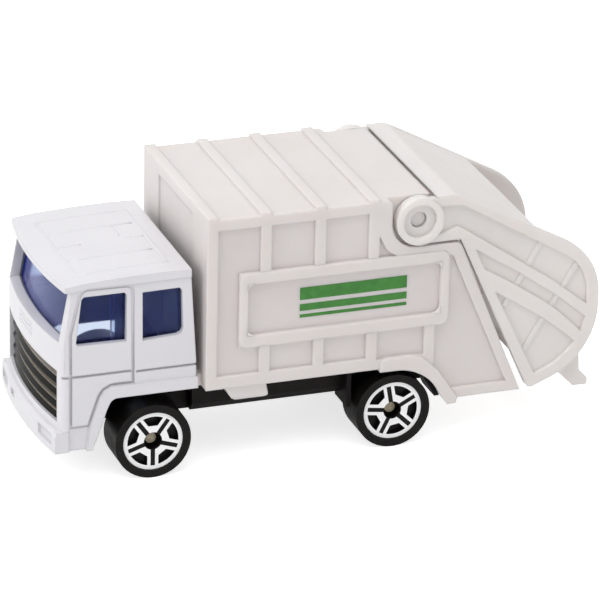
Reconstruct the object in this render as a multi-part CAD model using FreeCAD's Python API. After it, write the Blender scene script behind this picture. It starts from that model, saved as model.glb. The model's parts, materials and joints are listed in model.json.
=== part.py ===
import FreeCAD, Part

# Toy garbage truck, die-cast cab and plastic body, in millimetres.
# +X points to the front, +Y to the left, +Z up.  The origin is on the ground, under the middle
# of the length and width.  Each sub-part is one node and one STEP file.
import math
import os

V = FreeCAD.Vector

# ---------------------------------------------------------------- driving dimensions
FRONT_AXLE_X = 27.6
REAR_AXLE_X = -11.0
WHEEL_R = 6.0
WHEEL_FACE_Y = 15.15          # outer face of the wheels
WHEEL_WIDTH = 6.3

BODY_HALF = 15.75             # half width over the ribs of the box
RELIEF = 0.6                  # height of ribs and frames above the panels
WALL = 1.2
BODY_FRONT_X = 19.6
BODY_BOTTOM_Z = 13.6
BODY_TOP_Z = 41.2
ROOF_RIB_H = 0.43
RIB_WIDTH = 1.7
RIB_X = (10.3, 1.65, -6.95, -16.35)
ROOF_RIB_X = (18.75, 10.3, 1.65, -6.95)
SIGN_PROUD = 0.25             # the sign frame stands this far above the ribs
FLARE_PROUD = 0.4             # so do the lips round the wheel arches

PIVOT_X = -14.2
PIVOT_Z = 37.4
BOSS_R = 3.8
BOSS_PROUD = 0.45
CUP_R = 2.7
CUP_DEPTH = 0.5
PIN_R = 1.25
PIN_PLAY = 0.06               # radial running clearance of the pivot pins
PIN_END_Y = BODY_HALF - 1.1
SHOULDER_HALF = 14.2          # half width of the box where the tailgate's arms lie outside it
ARM_INNER_Y = 14.4
SKIN_CLEAR_R = 4.5            # no skin of the tailgate comes nearer to the pivot than this

CAB_HALF = 14.5
CAB_TOP_HALF = 14.1
CAB_WALL = 1.0
CAB_FRONT_WALL = 1.8
CAB_CORNER_X = 41.95          # front of the cab at its corners
CAB_MIDDLE_X = 43.3           # and in the middle of the bow
CAB_CORNER_R = 0.9
CAB_BACK_LOW_X = 20.75
CAB_BACK_TOP_X = 21.55
BELT_Z = 18.2                 # above this the sides lean in
WAIST_Z = 22.8                # above this the front leans back
CAB_EAVES_Z = 32.0
CAB_LEAN = 1.7

GLASS_GAP = 0.06
GLASS_WALL = 0.8
GLASS_LOW_Z = 21.5
GLASS_HIGH_Z = 31.75

BASE_Z = 7.6                  # underside of the base
BASE_HALF = 8.2
POST_X = 23.4                 # post of the casting that is riveted to the base
POST_HALF = 1.45
REAR_RIVET_X = -3.0
RIVET_R = 1.6
RIVET_H = 0.6
WELL_HALF = 2.1               # half side of the square well round each rivet
WELL_DEPTH = 0.9

AXLE_R = 0.6
HEAD_R = 0.85
HUB_PLAY = 0.06
SPOKES = 5
SPOKE_HALF = 0.87
WINDOW_IN = 2.5
WINDOW_OUT = 4.05
SPOKED_R = 4.78
RIM_R = 4.7
HUB_R = 1.4
HUB_DEPTH = 1.7
FACE_Y = WHEEL_FACE_Y - 0.35
PHASE = {"front": -90.0, "rear": 8.0}   # direction of one spoke, degrees from +X towards +Z


# ---------------------------------------------------------------- drawing helpers
def corner_points(before, corner, after):
    """Tangent points and middle of the arc that rounds one corner (x, z, radius)."""
    here = V(corner[0], corner[1], 0)
    to_before = (V(before[0], before[1], 0) - here).normalize()
    to_after = (V(after[0], after[1], 0) - here).normalize()
    half = to_before.getAngle(to_after) / 2
    reach = corner[2] / math.tan(half)
    middle = (to_before + to_after).normalize()
    depth = corner[2] / math.sin(half) - corner[2]
    return here + to_before * reach, here + middle * depth, here + to_after * reach


def loop_edges(corners, place):
    """Closed outline through corners (u, v) or (u, v, radius); place maps (u, v) into space."""
    stretches = []
    count = len(corners)
    for i, corner in enumerate(corners):
        if len(corner) == 3 and corner[2] > 0:
            stretches.append(corner_points(corners[i - 1], corner, corners[(i + 1) % count]))
        else:
            point = V(corner[0], corner[1], 0)
            stretches.append((point, None, point))
    edges = []
    for i, (start, middle, end) in enumerate(stretches):
        if middle is not None:
            arc = Part.Arc(place(start), place(middle), place(end))
            edges.append(arc.toShape())
        following = stretches[(i + 1) % count][0]
        if end.distanceToPoint(following) > 1e-6:
            edges.append(Part.LineSegment(place(end), place(following)).toShape())
    return edges


def face_of(corners, place):
    return Part.Face(Part.Wire(loop_edges(corners, place)))


def plate_xz(corners, y0, y1):
    """Side outline (x, z) drawn at y0 and carried across to y1."""
    face = face_of(corners, lambda p: V(p.x, y0, p.y))
    return face.extrude(V(0, y1 - y0, 0))


def plate_yz(corners, x0, x1):
    face = face_of(corners, lambda p: V(x0, p.x, p.y))
    return face.extrude(V(x1 - x0, 0, 0))


def band_xz(corners, outward, inward, y0, y1):
    """Band that follows an outline, from one offset of it to another."""
    face = face_of(corners, lambda p: V(p.x, y0, p.y))
    run = V(0, y1 - y0, 0)
    sharp = 2
    outer = face.makeOffset2D(outward, sharp).extrude(run)
    inner = face.makeOffset2D(inward, sharp).extrude(run)
    return outer.cut(inner)


def box(x0, x1, y0, y1, z0, z1):
    return Part.makeBox(x1 - x0, y1 - y0, z1 - z0, V(x0, y0, z0))


def cylinder_y(x, z, radius, y0, y1):
    return Part.makeCylinder(radius, y1 - y0, V(x, y0, z), V(0, 1, 0))


def ring_y(x, z, inner, outer, y0, y1):
    return cylinder_y(x, z, outer, y0, y1).cut(cylinder_y(x, z, inner, y0 - 1, y1 + 1))


def revolved(profile):
    """Solid of revolution about the Y axis; the profile is (radius, y)."""
    face = face_of(profile, lambda p: V(p.x, p.y, 0))
    return face.revolve(V(0, 0, 0), V(0, 1, 0), 360)


def mirrored(shape):
    """The same piece on the other side of the truck."""
    return shape.mirror(V(0, 0, 0), V(0, 1, 0))


def both_sides(shape):
    return [shape, mirrored(shape)]


def fused(shapes):
    whole = shapes[0].multiFuse(shapes[1:]) if len(shapes) > 1 else shapes[0]
    return whole.removeSplitter()


# ---------------------------------------------------------------- box body
# Corners of a side outline are (x, z) or (x, z, corner radius).
BODY_OUTLINE = (
    (BODY_FRONT_X, BODY_BOTTOM_Z),
    (BODY_FRONT_X, BODY_TOP_Z),
    (-9.15, BODY_TOP_Z),
    (-9.6, 40.95),
    (-9.75, 40.5),
    (-9.75, 33.2, 4.2),
    (-20.95, 33.2, 1.2),
    (-31.6, 7.25),
    (-19.15, 7.25),
    (-16.57, BODY_BOTTOM_Z, 8.25),
)
SHOULDER_OUTLINE = (
    (-9.0, BODY_TOP_Z),
    (-16.2, BODY_TOP_Z),
    (-15.8, 39.4),
    (-19.6, 33.0),
    (-9.0, 33.0),
)
SIGN_LOW_Z = 20.03
SIGN_HIGH_Z = 32.1
SIGN_FRONT_X = 14.44
SIGN_REAR_X = -19.2
SIGN_OUTER = (
    (SIGN_FRONT_X, SIGN_LOW_Z, 1.3),
    (SIGN_FRONT_X, SIGN_HIGH_Z, 1.3),
    (SIGN_REAR_X, SIGN_HIGH_Z, 1.3),
    (SIGN_REAR_X, SIGN_LOW_Z, 1.3),
)
SIGN_FIELD = ((13.1, 21.9), (13.1, 30.35), (-17.9, 30.35), (-17.9, 21.9))
FLARE = (
    (-8.3, 13.2),
    (-8.3, 15.35, 1.2),
    (-14.7, 15.4, 3.5),
    (-17.8, 12.4, 3.5),
    (-21.2, 7.4),
    (-20.9, 6.5),
    (-19.55, 6.45),
    (-18.3, 8.1),
    (-16.35, 13.2, 7.9),
)
HOLLOW = (
    (BODY_FRONT_X - WALL, BODY_BOTTOM_Z + WALL),
    (BODY_FRONT_X - WALL, BODY_TOP_Z - WALL),
    (-20.0, BODY_TOP_Z - WALL),
    (-24.0, 33.0),
    (-36.0, 6.0),
    (-20.9, 6.0),
    (-19.9, 8.5),
    (-17.4, BODY_BOTTOM_Z + WALL, 9.4),
)


def side_pockets():
    """Recessed panels between the ribs, above and below the sign."""
    half = RIB_WIDTH / 2
    low = 15.6
    high = 39.5
    front = 17.9
    first = RIB_X[0] + half
    pockets = [(
        (front, low), (front, high), (first, high), (first, SIGN_HIGH_Z), (SIGN_FRONT_X, SIGN_HIGH_Z),
        (SIGN_FRONT_X, SIGN_LOW_Z), (first, SIGN_LOW_Z), (first, low),
    )]
    for ahead, behind in zip(RIB_X[:2], RIB_X[1:3]):
        x0 = ahead - half
        x1 = behind + half
        pockets.append(((x0, low), (x0, SIGN_LOW_Z), (x1, SIGN_LOW_Z), (x1, low)))
        pockets.append(((x0, SIGN_HIGH_Z), (x0, high), (x1, high), (x1, SIGN_HIGH_Z)))
    x0 = RIB_X[2] - half
    x1 = RIB_X[3] + half
    pockets.append(((x0, 15.2), (x0, SIGN_LOW_Z), (x1, SIGN_LOW_Z), (x1, 15.2)))
    pockets.append(((x0, SIGN_HIGH_Z), (x0, 35.6), (-9.0, 33.2, 3.0), (-10.6, SIGN_HIGH_Z)))
    rear = RIB_X[3] - half
    pockets.append((
        (rear, SIGN_LOW_Z), (SIGN_REAR_X, SIGN_LOW_Z), (SIGN_REAR_X, 31.3), (-19.9, 31.0),
        (-29.3, 8.9), (-19.8, 8.9), (rear, 12.9),
    ))
    return pockets


def make_body():
    panel_y = BODY_HALF - RELIEF
    core = plate_xz(BODY_OUTLINE, -panel_y, panel_y)
    shoulder = plate_xz(SHOULDER_OUTLINE, -SHOULDER_HALF, SHOULDER_HALF)
    relief = plate_xz(BODY_OUTLINE, panel_y, BODY_HALF)
    for pocket in side_pockets():
        relief = relief.cut(plate_xz(pocket, panel_y, BODY_HALF + 1))
    sign = plate_xz(SIGN_OUTER, panel_y, BODY_HALF + SIGN_PROUD)
    relief = relief.fuse(sign).cut(plate_xz(SIGN_FIELD, panel_y, BODY_HALF + 1))
    flare = plate_xz(FLARE, panel_y, BODY_HALF + FLARE_PROUD)
    pieces = [core, shoulder] + both_sides(relief) + both_sides(flare)
    for x in ROOF_RIB_X:
        pieces.append(box(x - RIB_WIDTH / 2, x + RIB_WIDTH / 2, -BODY_HALF, BODY_HALF,
                          BODY_TOP_Z - 1, BODY_TOP_Z + ROOF_RIB_H))
    whole = fused(pieces)
    inner = SHOULDER_HALF - WALL
    whole = whole.cut(plate_xz(HOLLOW, -inner, inner))
    front_recess = box(BODY_FRONT_X - 0.3, BODY_FRONT_X + 1, -8.4, 8.4, 15.6, 39.6)
    whole = whole.cut(front_recess)
    pin = cylinder_y(PIVOT_X, PIVOT_Z, PIN_R, inner, PIN_END_Y)
    tongue = box(BODY_FRONT_X - 1, CAB_BACK_LOW_X - 0.1, -13.6, 13.6, 13.7, 15.6)
    return fused([whole] + both_sides(pin) + [tongue])


# ---------------------------------------------------------------- tailgate
PLATE_OUTLINE = (
    (PIVOT_X, 40.75),
    (-20.75, 40.77, 3.0),
    (-44.2, 28.2, 10.5),
    (-44.2, 11.6, 12.3),
    (-33.0, 7.2, 0.9),
    (-21.0, 33.65),
    (PIVOT_X, 33.65),
)
# Sunk fields of each side plate; the bars left between them bow a little.
PLATE_FIELDS = (
    ((-15.5, 39.3), (-20.9, 39.35, 2.5), (-42.3, 26.7, 8.0), (-42.3, 20.3), (-35.9, 25.4, 40.0),
     (-27.4, 31.2, 40.0), (-20.6, 35.8), (-16.0, 34.3)),
    ((-23.6, 31.55), (-30.9, 26.9, 40.0), (-37.7, 22.0, 40.0), (-42.2, 18.2), (-41.45, 15.85),
     (-37.9, 19.65, 40.0), (-31.0, 24.5, 40.0), (-25.1, 28.15)),
    ((-27.05, 24.1), (-32.8, 20.45, 40.0), (-38.0, 16.6, 40.0), (-40.5, 14.23), (-38.62, 11.45, 10.4),
     (-33.95, 9.62)),
)
# Low ribs that cross the fields: start x, start z, end x, end z.
CROSS_RIBS = ((-34.8, 32.2, -28.6, 21.35), (-40.9, 27.8, -32.0, 13.3))
CROSS_RIB_WIDTH = 0.9
CROSS_RIB_H = 0.25
SKIN_OUTLINE = (
    (-15.5, 41.1),
    (-20.0, 41.1, 2.5),
    (-33.6, 33.85),
    (-33.1, 32.75),
    (-20.0, 39.85, 2.0),
    (-15.0, 39.9),
)
BOWL_SILL_Z = 15.5
BOWL_FRONT_X = -34.9
BOWL_X = -31.9
BOWL_Z = 20.05
BOWL_R = 12.3
LIP_HALF = 14.2
LIP_OUTLINE = ((-38.2, 9.0), (-41.2, 5.95), (-43.6, 5.9), (-43.6, 7.0), (-42.2, 8.25), (-41.85, 13.6),
               (-38.2, 13.6))


def slanted_bar(x0, z0, x1, z1, width, y0, y1):
    """Straight bar across a side plate, given by the two ends of its centre line."""
    length = math.hypot(x1 - x0, z1 - z0)
    across_x = (z1 - z0) / length * width / 2
    across_z = (x0 - x1) / length * width / 2
    corners = ((x0 + across_x, z0 + across_z), (x1 + across_x, z1 + across_z),
               (x1 - across_x, z1 - across_z), (x0 - across_x, z0 - across_z))
    return plate_xz(corners, y0, y1)


def make_tailgate():
    web_y = BODY_HALF - RELIEF
    plate = plate_xz(PLATE_OUTLINE, ARM_INNER_Y, BODY_HALF)
    for field in PLATE_FIELDS:
        plate = plate.cut(plate_xz(field, web_y, BODY_HALF + 1))
    for x0, z0, x1, z1 in CROSS_RIBS:
        plate = plate.fuse(slanted_bar(x0, z0, x1, z1, CROSS_RIB_WIDTH, ARM_INNER_Y, web_y + CROSS_RIB_H))
    boss = cylinder_y(PIVOT_X, PIVOT_Z, BOSS_R, ARM_INNER_Y, BODY_HALF + BOSS_PROUD)
    cup = cylinder_y(PIVOT_X, PIVOT_Z, CUP_R, BODY_HALF - CUP_DEPTH, BODY_HALF + 2)
    hole = cylinder_y(PIVOT_X, PIVOT_Z, PIN_R + PIN_PLAY, ARM_INNER_Y - 1, BODY_HALF + 2)
    plate = plate.fuse(boss).cut(cup).cut(hole)
    skin = plate_xz(SKIN_OUTLINE, -BODY_HALF, BODY_HALF)
    skin = skin.cut(cylinder_y(PIVOT_X, PIVOT_Z, SKIN_CLEAR_R, -BODY_HALF - 1, BODY_HALF + 1))
    bowl = ring_y(BOWL_X, BOWL_Z, BOWL_R - WALL, BOWL_R, -web_y, web_y)
    bowl = bowl.common(box(-46, BOWL_FRONT_X, -BODY_HALF, BODY_HALF, 0, BOWL_SILL_Z))
    lip = plate_xz(LIP_OUTLINE, -LIP_HALF, LIP_HALF)
    lip = lip.cut(cylinder_y(BOWL_X, BOWL_Z, BOWL_R - WALL / 2, -BODY_HALF, BODY_HALF))
    return fused(both_sides(plate) + [skin, bowl, lip])


# ---------------------------------------------------------------- cab
ROOF_SIDE = (
    (CAB_BACK_TOP_X, 33.26), (25.8, 33.35), (30.85, 33.26), (37.45, 32.96), (41.3, 32.53), (44.0, 32.2),
    (44.0, 31.5), (38.0, 31.8), (CAB_BACK_TOP_X, 32.0),
)
ROOF_HALF = 14.35
ROOF_CORNER_X = 41.3
ROOF_MIDDLE_X = 42.6
WINDOW_FRONT = ((38.72, 30.3), (38.35, 30.68), (32.05, 30.68), (31.68, 30.3), (31.75, 22.8), (39.35, 22.94),
                (39.62, 23.35))
WINDOW_REAR = ((29.2, 30.35), (23.45, 30.45), (22.99, 30.0), (22.82, 23.8), (23.1, 23.15), (23.7, 22.85),
               (29.2, 22.58))
WINDSCREEN_HALF = 13.0
# The windscreen's opening ends below on a sloping ledge.
WINDSCREEN_SIDE = ((46.0, 23.2), (40.5, 23.4), (38.0, 23.4), (38.0, 31.6), (46.0, 31.6))
GRILLE_HALF = 12.7
GRILLE_LOW_Z = 10.2
GRILLE_HIGH_Z = 18.6
ARCH_OUTLINE = ((18.0, 13.9), (18.0, 2.0), (37.4, 2.0), (37.0, 6.2), (36.0, 8.8), (34.95, 12.0),
                (34.1, 13.9, 1.4))
ARCH_FLARE = ((20.5, 13.9), (20.5, 15.75), (30.4, 15.85), (35.45, 15.8, 2.5), (37.45, 9.65), (38.05, 5.75),
              (36.9, 5.75), (36.0, 8.8), (34.95, 12.0), (34.0, 13.9, 1.3))
DOOR_OUTLINE = ((40.45, 9.65), (40.45, 24.75), (39.0, 30.8), (38.5, 31.55), (37.8, 31.82), (31.6, 31.74),
                (30.95, 31.45), (30.7, 30.8), (30.7, 16.05), (34.1, 16.05),
                (35.4, 15.4), (36.1, 14.4), (37.7, 9.65))
GROOVE = 0.44
GROOVE_Y = 13.95
# Grooves at belt height: x0, x1, z0, z1.
BELT_GROOVES = ((30.9, 41.7, 17.75, 18.15), (20.0, 30.2, 17.54, 17.92))
BUMPER_HALF = 14.6
BUMPER_CORNER_X = 42.9
BUMPER_MIDDLE_X = 44.2
BUMPER_LOW_Z = 5.75
BUMPER_EDGE_Z = 8.35
BUMPER_HIGH_Z = 9.05
LAMP_DEPTH = 0.45
# Sunk lamps and a slot in the bumper: y0, y1, z0, z1.
BUMPER_POCKETS = ((8.3, 13.1, 6.75, 8.35), (-13.1, -8.3, 6.75, 8.35), (-5.7, -3.5, 7.2, 8.3))


def bowed_face(x_corner, x_middle, half, depth, z):
    """Plan of a bar across the front that follows the bow of the cab."""
    outer = (V(x_corner, -half, z), V(x_middle, 0, z), V(x_corner, half, z))
    inner = (V(x_corner - depth, half, z), V(x_middle - depth, 0, z), V(x_corner - depth, -half, z))
    edges = [
        Part.Arc(*outer).toShape(),
        Part.LineSegment(outer[2], inner[0]).toShape(),
        Part.Arc(*inner).toShape(),
        Part.LineSegment(inner[2], outer[0]).toShape(),
    ]
    return Part.Face(Part.Wire(edges))


def cab_plan(z, inset, front_inset, corner_r):
    """Plan of the cab: straight back and sides, bowed front, corners round or sharp."""
    back = CAB_BACK_LOW_X - 2
    side = CAB_HALF - inset
    x_corner = CAB_CORNER_X - front_inset
    x_middle = CAB_MIDDLE_X - front_inset
    k = corner_r * (1 - math.sqrt(0.5))
    edges = [
        Part.LineSegment(V(back, side, z), V(back, -side, z)).toShape(),
        Part.LineSegment(V(back, -side, z), V(x_corner - corner_r, -side, z)).toShape(),
        Part.Arc(V(x_corner, corner_r - side, z), V(x_middle, 0, z), V(x_corner, side - corner_r, z)).toShape(),
        Part.LineSegment(V(x_corner - corner_r, side, z), V(back, side, z)).toShape(),
    ]
    if corner_r:
        for s in (-1, 1):
            edges.append(Part.Arc(V(x_corner - corner_r, s * side, z), V(x_corner - k, s * (side - k), z),
                                  V(x_corner, s * (side - corner_r), z)).toShape())
    return Part.Face(Part.Wire(Part.sortEdges(edges)[0]))


def cab_block(inset, front_inset, corner_r=0.0):
    """Body of the cab from the ground to the eaves, set in from the outer skin."""
    low = cab_plan(0.0, inset, front_inset, corner_r).extrude(V(0, 0, WAIST_Z))
    high = cab_plan(WAIST_Z, inset, front_inset, corner_r).extrude(V(-CAB_LEAN, 0, CAB_EAVES_Z - WAIST_Z))
    half = CAB_HALF - inset
    top_half = CAB_TOP_HALF - inset
    across = ((half, 0.0), (half, BELT_Z), (top_half, CAB_EAVES_Z), (-top_half, CAB_EAVES_Z),
              (-half, BELT_Z), (-half, 0.0))
    side = ((CAB_BACK_LOW_X + inset, 0.0), (CAB_BACK_LOW_X + inset, BELT_Z),
            (CAB_BACK_TOP_X + inset, CAB_EAVES_Z), (46.0, CAB_EAVES_Z), (46.0, 0.0))
    whole = fused([low, high]).common(plate_yz(across, CAB_BACK_LOW_X - 3, 46))
    return whole.common(plate_xz(side, -CAB_HALF - 1, CAB_HALF + 1)).removeSplitter()


def cab_roof():
    plan = bowed_face(ROOF_CORNER_X, ROOF_MIDDLE_X, ROOF_HALF, ROOF_CORNER_X - ROOF_MIDDLE_X + 12, 30)
    middle = box(CAB_BACK_LOW_X, 33.0, -ROOF_HALF, ROOF_HALF, 30, 35)
    outline = plan.extrude(V(0, 0, 5)).fuse(middle)
    return plate_xz(ROOF_SIDE, -ROOF_HALF, ROOF_HALF).common(outline).removeSplitter()


def make_bumper():
    low = bowed_face(BUMPER_CORNER_X, BUMPER_MIDDLE_X, BUMPER_HALF, 2.2, BUMPER_LOW_Z)
    low = low.extrude(V(0, 0, BUMPER_EDGE_Z - BUMPER_LOW_Z))
    top = bowed_face(BUMPER_CORNER_X, BUMPER_MIDDLE_X, BUMPER_HALF, 2.2, BUMPER_EDGE_Z)
    top = top.extrude(V(-0.6, 0, BUMPER_HIGH_Z - BUMPER_EDGE_Z))
    behind = bowed_face(BUMPER_CORNER_X - LAMP_DEPTH, BUMPER_MIDDLE_X - LAMP_DEPTH, BUMPER_HALF + 1, 8,
                        BUMPER_LOW_Z - 1).extrude(V(0, 0, 6))
    bumper = low.fuse(top)
    for y0, y1, z0, z1 in BUMPER_POCKETS:
        bumper = bumper.cut(box(40, 46, y0, y1, z0, z1).cut(behind))
    block = box(40.75, 42.7, CAB_HALF - CAB_WALL, BUMPER_HALF, BUMPER_LOW_Z, BUMPER_HIGH_Z)
    return [bumper] + both_sides(block)


def make_cab():
    whole = fused([cab_block(0.0, 0.0, CAB_CORNER_R), cab_roof()])
    whole = whole.cut(box(18, 46, -20, 20, -1, BUMPER_LOW_Z))
    cavity = cab_block(CAB_WALL, CAB_FRONT_WALL)
    flare = plate_xz(ARCH_FLARE, CAB_HALF - CAB_WALL / 2, CAB_HALF + FLARE_PROUD)
    leg_recess = box(37.0, 40.75, CAB_HALF - 0.4, 20, 2, 9.55)
    whole = fused([whole] + make_bumper())
    for cut in both_sides(leg_recess):
        whole = whole.cut(cut)
    whole = fused([whole] + both_sides(flare))
    whole = whole.cut(cavity).cut(plate_xz(ARCH_OUTLINE, -20, 20))
    for window in (WINDOW_FRONT, WINDOW_REAR):
        whole = whole.cut(plate_xz(window, -20, 20))
    whole = whole.cut(plate_xz(WINDSCREEN_SIDE, -WINDSCREEN_HALF, WINDSCREEN_HALF))
    whole = whole.cut(box(39.0, 46.0, -GRILLE_HALF, GRILLE_HALF, GRILLE_LOW_Z, GRILLE_HIGH_Z))
    grooves = both_sides(band_xz(DOOR_OUTLINE, GROOVE / 2, -GROOVE / 2, GROOVE_Y, 16))
    for x0, x1, z0, z1 in BELT_GROOVES:
        grooves += both_sides(box(x0, x1, GROOVE_Y, 16, z0, z1))
    for groove in grooves:
        whole = whole.cut(groove)
    post = box(POST_X - POST_HALF, POST_X + POST_HALF, -POST_HALF, POST_HALF, BODY_BOTTOM_Z, CAB_EAVES_Z + 0.3)
    return fused([whole, post])


def make_glazing():
    """Windscreen and side panes in one moulding, open behind, hung from a strip under the roof."""
    front_inset = CAB_FRONT_WALL + GLASS_GAP
    inset = CAB_WALL + GLASS_GAP
    outer = cab_block(inset, front_inset).common(box(20, 46, -20, 20, GLASS_LOW_Z, GLASS_HIGH_Z))
    tube = outer.cut(cab_block(inset + GLASS_WALL, front_inset + GLASS_WALL))
    tube = tube.cut(box(20, 25.3, -12.0, 12.0, 20, 33))
    strip = box(27.0, 29.8, -12.7, 12.7, GLASS_HIGH_Z - 0.8, GLASS_HIGH_Z)
    lug = box(27.0, 29.8, -0.4, 0.4, 15.5, GLASS_HIGH_Z)
    return fused([tube, strip, lug])


LOUVRE_Z = (10.25, 11.95, 13.95, 15.95)
LOUVRE_H = 0.9
LOUVRE_LEAN = 0.5


def louvre_plan(seat, z):
    """Plan of one louvre: bowed front, straight back inside the back plate."""
    half = GRILLE_HALF - 0.1
    back = seat - 0.5
    front = (V(seat + 1.5, -half, z), V(seat + 1.5 + CAB_MIDDLE_X - CAB_CORNER_X, 0, z),
             V(seat + 1.5, half, z))
    edges = [
        Part.Arc(*front).toShape(),
        Part.LineSegment(front[2], V(back, half, z)).toShape(),
        Part.LineSegment(V(back, half, z), V(back, -half, z)).toShape(),
        Part.LineSegment(V(back, -half, z), front[0]).toShape(),
    ]
    return Part.Face(Part.Wire(edges))


def make_grille():
    seat = CAB_CORNER_X - CAB_FRONT_WALL
    half = CAB_HALF - CAB_WALL - 0.3
    bars = [box(seat - 1, seat, -half, half, GRILLE_LOW_Z - 0.8, GRILLE_HIGH_Z + 0.3)]
    for z in LOUVRE_Z:
        bars.append(louvre_plan(seat, z).extrude(V(-LOUVRE_LEAN, 0, LOUVRE_H)))
    return fused(bars)


# ---------------------------------------------------------------- chassis
FENDER_VOID = ((-3.9, 5.0), (-3.9, BODY_BOTTOM_Z), (-11.0, BODY_BOTTOM_Z), (-14.5, 12.75), (-17.1, 10.8),
               (-18.6, 8.3), (-19.1, 7.2), (-20.2, 5.0))
FENDER_OUTER_Y = 13.4
FENDER_LOW_Z = 6.8
TAIL_OUTLINE = ((REAR_AXLE_X, BASE_Z), (-18.2, BASE_Z), (-17.6, 9.3), (-15.7, 11.9), (-13.0, 13.3),
                (REAR_AXLE_X, BODY_BOTTOM_Z))


def rear_fender():
    """Inner fender that lines the rear wheel arch."""
    band = band_xz(FENDER_VOID, -0.05, -0.8, BASE_HALF, FENDER_OUTER_Y)
    return band.common(box(-25, -3, 0, 20, FENDER_LOW_Z, BODY_BOTTOM_Z))


def make_chassis():
    deck = BODY_BOTTOM_Z
    spine = box(REAR_AXLE_X, 37.0, -BASE_HALF, BASE_HALF, BASE_Z, deck)
    tail = plate_xz(TAIL_OUTLINE, -BASE_HALF, BASE_HALF)
    rail = ((-10.6, deck), (-10.6, 9.2), (-9.6, 7.9), (9.6, 7.9), (10.6, 9.2), (10.6, deck))
    middle = plate_yz(rail, -4.3, 20.1)
    front = box(36.0, 40.1, -13.2, 13.2, 6.4, 9.3)
    pieces = [spine, tail, middle, front] + both_sides(rear_fender())
    for axle_x in (FRONT_AXLE_X, REAR_AXLE_X):
        pieces.append(box(axle_x - 1.8, axle_x + 1.8, -BASE_HALF, BASE_HALF, 4.6, 8.0))
    whole = fused(pieces)
    for axle_x in (FRONT_AXLE_X, REAR_AXLE_X):
        whole = whole.cut(cylinder_y(axle_x, WHEEL_R, AXLE_R, -20, 20))
    for x in (POST_X, REAR_RIVET_X):
        whole = whole.cut(box(x - WELL_HALF, x + WELL_HALF, -WELL_HALF, WELL_HALF, 0, BASE_Z + WELL_DEPTH))
    return whole


def make_rivet(x):
    """Flat rivet head at the bottom of its well in the base."""
    return Part.makeCylinder(RIVET_R, RIVET_H, V(x, 0, BASE_Z + WELL_DEPTH - RIVET_H))


# ---------------------------------------------------------------- wheels and axles
def wheel_window(angle, y0, y1):
    """Opening between two spokes: flanks beside them, a chord inside, the rim outside."""
    half_turn = math.radians(180.0 / SPOKES)
    # height of the flank where it meets the chord and the rim
    z_in = (WINDOW_IN * math.sin(half_turn) - SPOKE_HALF) / math.cos(half_turn)
    rim_turn = half_turn - math.asin(SPOKE_HALF / WINDOW_OUT)
    low = V(WINDOW_IN, y0, -z_in)
    high = V(WINDOW_IN, y0, z_in)
    rim_low = V(WINDOW_OUT * math.cos(rim_turn), y0, -WINDOW_OUT * math.sin(rim_turn))
    rim_high = V(rim_low.x, y0, -rim_low.z)
    edges = [
        Part.LineSegment(low, rim_low).toShape(),
        Part.Arc(rim_low, V(WINDOW_OUT, y0, 0), rim_high).toShape(),
        Part.LineSegment(rim_high, high).toShape(),
        Part.LineSegment(high, low).toShape(),
    ]
    solid = Part.Face(Part.Wire(edges)).extrude(V(0, y1 - y0, 0))
    solid.rotate(V(0, 0, 0), V(0, -1, 0), angle)
    return solid


def wheel_shape(phase):
    """Left wheel about the origin: hollow behind, spoked face in front."""
    back = WHEEL_FACE_Y - WHEEL_WIDTH
    profile = (
        (0.0, back + 4.2), (RIM_R, back + 4.2), (RIM_R, back), (WHEEL_R, back),
        (WHEEL_R, WHEEL_FACE_Y),
        (SPOKED_R, WHEEL_FACE_Y), (SPOKED_R, FACE_Y), (0.0, FACE_Y),
    )
    wheel = revolved(profile)
    cuts = []
    for i in range(SPOKES):
        turn = phase + i * 360.0 / SPOKES
        cuts.append(wheel_window(turn + 180.0 / SPOKES, FACE_Y - 0.9, FACE_Y + 1))
    cuts.append(cylinder_y(0, 0, HUB_R, FACE_Y - HUB_DEPTH, FACE_Y + 1))
    cuts.append(cylinder_y(0, 0, AXLE_R + HUB_PLAY, -1, FACE_Y + 1))
    return wheel.cut(Part.makeCompound(cuts))


def make_axle(axle_x):
    """Steel pin with a head in each hub."""
    inside = FACE_Y - HUB_DEPTH + 0.05
    outside = inside + 0.45
    profile = ((0.0, -outside), (HEAD_R, -outside), (HEAD_R, -inside), (AXLE_R, -inside),
               (AXLE_R, inside), (HEAD_R, inside), (HEAD_R, outside), (0.0, outside))
    axle = revolved(profile)
    axle.translate(V(axle_x, 0, WHEEL_R))
    return axle


# ---------------------------------------------------------------- small pieces
TANK_LOW_Z = 10.6
TANK_INNER_Y = 11.4
TANK_OUTER_Y = 14.8
TANK_SIDE = ((16.5, BODY_BOTTOM_Z), (15.1, 11.3), (14.1, TANK_LOW_Z), (9.7, TANK_LOW_Z), (9.2, 11.2),
             (9.7, BODY_BOTTOM_Z))
TANK_END = ((TANK_INNER_Y, BODY_BOTTOM_Z), (TANK_INNER_Y, TANK_LOW_Z), (TANK_OUTER_Y, TANK_LOW_Z, 1.4),
            (TANK_OUTER_Y, BODY_BOTTOM_Z))


def make_tank():
    """Rounded tank under the edge of the box."""
    side = plate_xz(TANK_SIDE, TANK_INNER_Y, TANK_OUTER_Y)
    return side.common(plate_yz(TANK_END, 9.0, 17.0))


def make_interior():
    """Dark bench ahead of the post, seen through the rear side windows."""
    return box(25.0, 26.8, -BASE_HALF, BASE_HALF, BODY_BOTTOM_Z, 21.0)


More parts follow.
